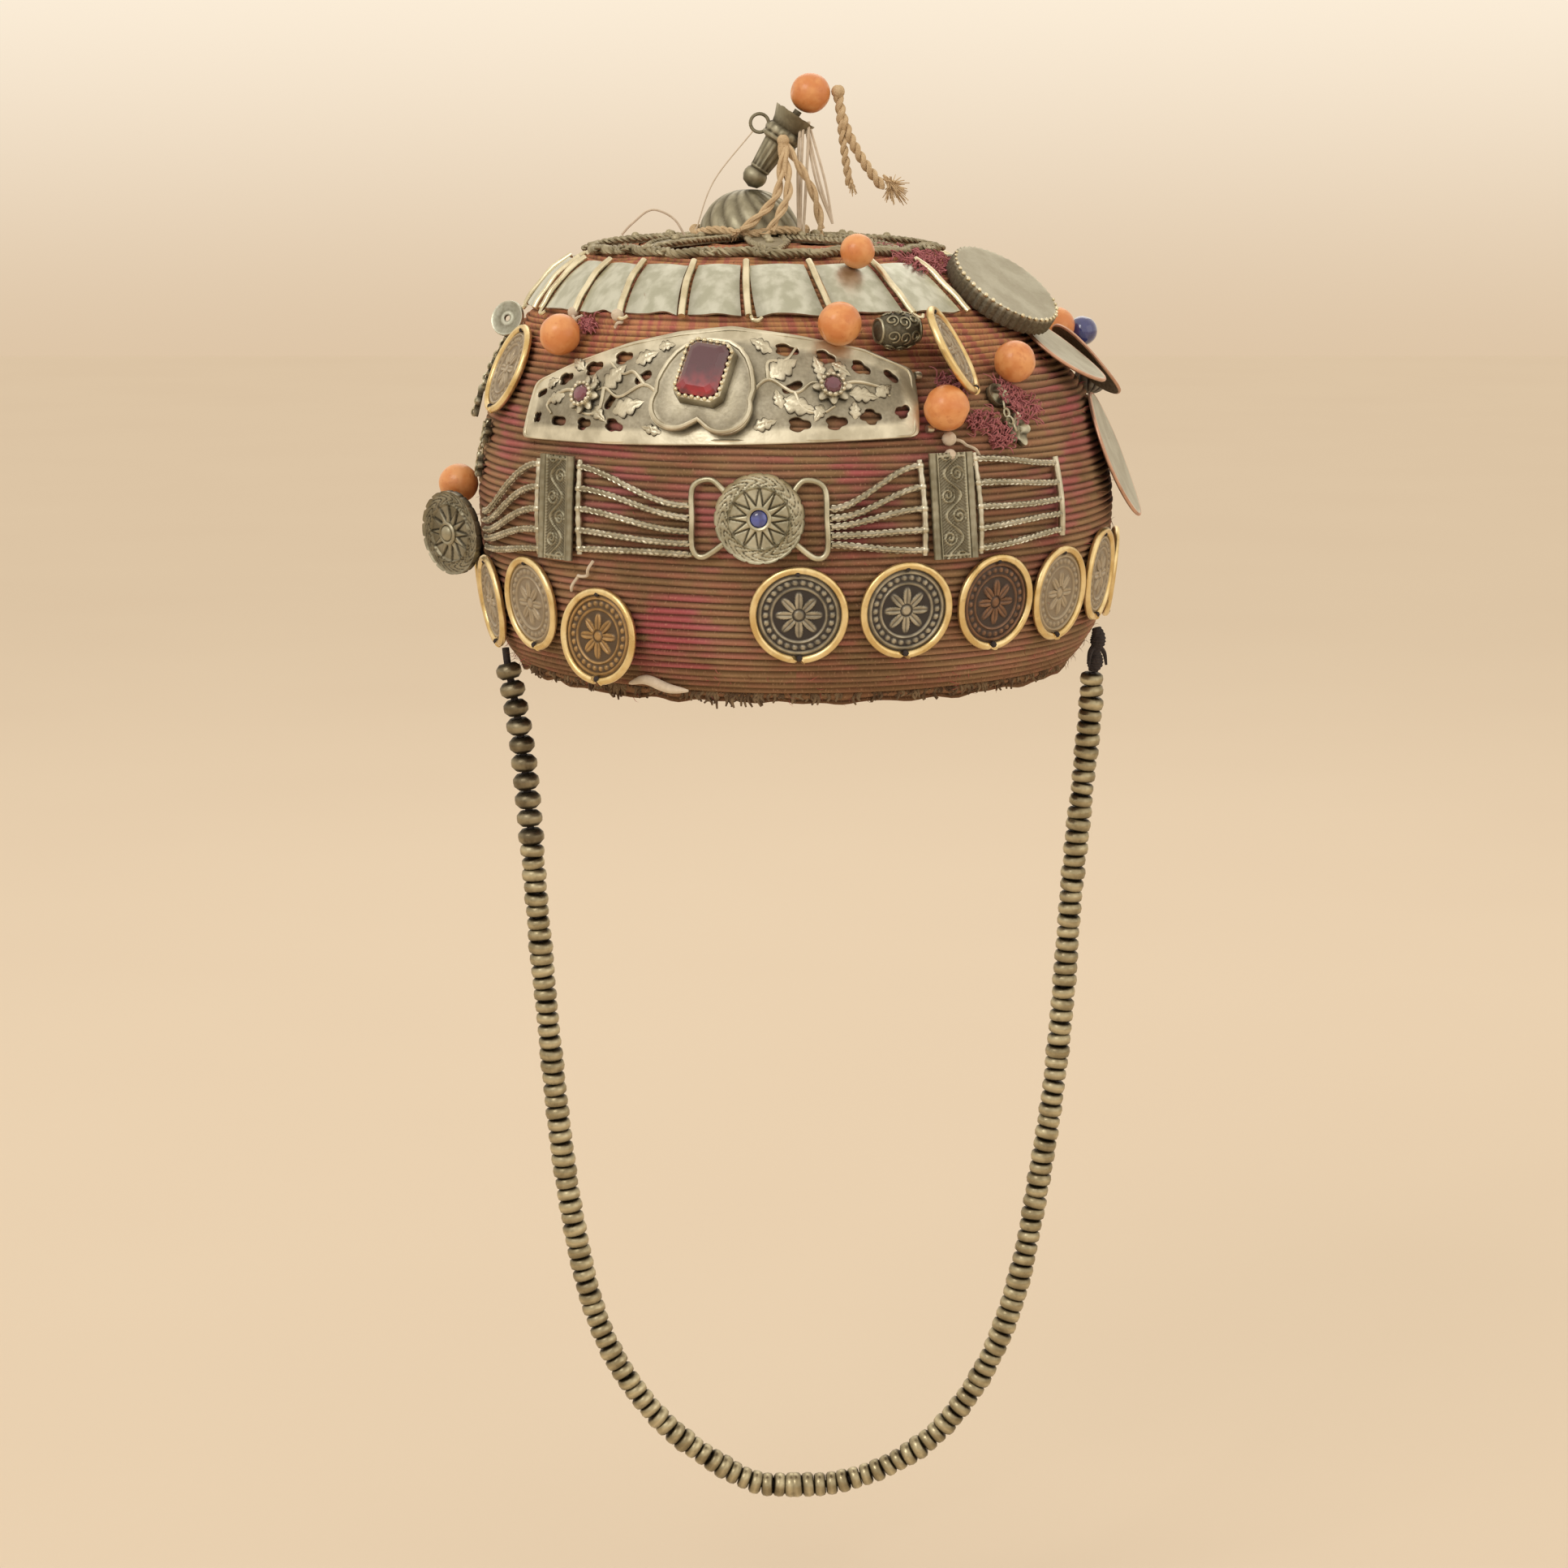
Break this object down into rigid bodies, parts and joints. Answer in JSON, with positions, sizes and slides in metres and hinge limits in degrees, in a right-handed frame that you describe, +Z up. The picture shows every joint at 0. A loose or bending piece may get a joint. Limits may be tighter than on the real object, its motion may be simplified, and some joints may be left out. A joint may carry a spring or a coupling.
{
  "type": "ornamented wool cap with beaded chin strap",
  "caption": "Round cap wound from wool cord, sewn over with silver plates, chains, coins and coral beads, with a leaning finial and a beaded chin strap",
  "frame": {"origin": "inside of the crown, at the top of the head that the cap sits on", "axes": "+Z up through the crown, +X to the right and -Y towards the viewer in the picture, which shows the cap's back"},
  "size_m": [0.1972, 0.1992, 0.4033],
  "materials": {
    "wool": "matt wound wool cord, faded red with pink and orange",
    "aged_silver": "tarnished low silver alloy, worn bright on edges",
    "gold_wire": "gilt wire rim round a dark coin",
    "coral": "polished orange coral",
    "red_glass": "deep red cut glass over a dark backing",
    "blue_glass": "deep blue glass",
    "dark_bead": "dark worn bead",
    "cotton_cord": "undyed cotton cord",
    "dark_cloth": "dark knotted cloth",
    "strap_metal": "tarnished white brass disc beads"
  },
  "bodies": {
    "root": {"cap_shell": "wool", "crown_star": "aged_silver", "finial_dome": "aged_silver", "finial_stem": "aged_silver", "finial_bead": "coral", "finial_tassel": "cotton_cord", "finial_cords": "cotton_cord", "band_plate_1": "aged_silver", "band_plate_2": "aged_silver", "band_plate_3": "aged_silver", "band_plate_4": "aged_silver", "band_plate_5": "aged_silver", "band_plate_6": "aged_silver", "band_plate_7": "aged_silver", "band_far": "aged_silver", "arch_plate": "aged_silver", "heart_mount": "aged_silver", "red_stone": "red_glass", "flower_left": "aged_silver", "flower_right": "aged_silver", "medallion_centre": "aged_silver", "medallion_left": "aged_silver", "bar_left": "aged_silver", "bar_right": "aged_silver", "strands_left_outer": "aged_silver", "strands_left_inner": "aged_silver", "strands_right_inner": "aged_silver", "strands_right_outer": "aged_silver", "coin_1": "gold_wire", "coin_2": "gold_wire", "coin_3": "gold_wire", "coin_4": "gold_wire", "coin_5": "gold_wire", "coin_6": "gold_wire", "coin_7": "gold_wire", "coin_8": "gold_wire", "coin_row_far": "gold_wire", "upper_coin_left": "gold_wire", "upper_coin_right": "gold_wire", "serrated_disc": "aged_silver", "scale_disc_upper": "aged_silver", "scale_disc_middle": "aged_silver", "scale_disc_lower": "aged_silver", "coral_bead_1": "coral", "coral_bead_2": "coral", "coral_bead_3": "coral", "coral_bead_4": "coral", "coral_bead_5": "coral", "coral_bead_6": "coral", "coral_bead_7": "coral", "filigree_bead": "aged_silver", "blue_bead": "blue_glass", "dark_bead": "dark_bead", "holed_coin_left": "aged_silver", "filigree_drop_left": "aged_silver", "charm_chain_left": "aged_silver", "charm_chain_right": "aged_silver", "chin_strap_left": "strap_metal", "chin_strap_right": "strap_metal", "strap_knot_right": "dark_cloth"}
  },
  "joints": []
}
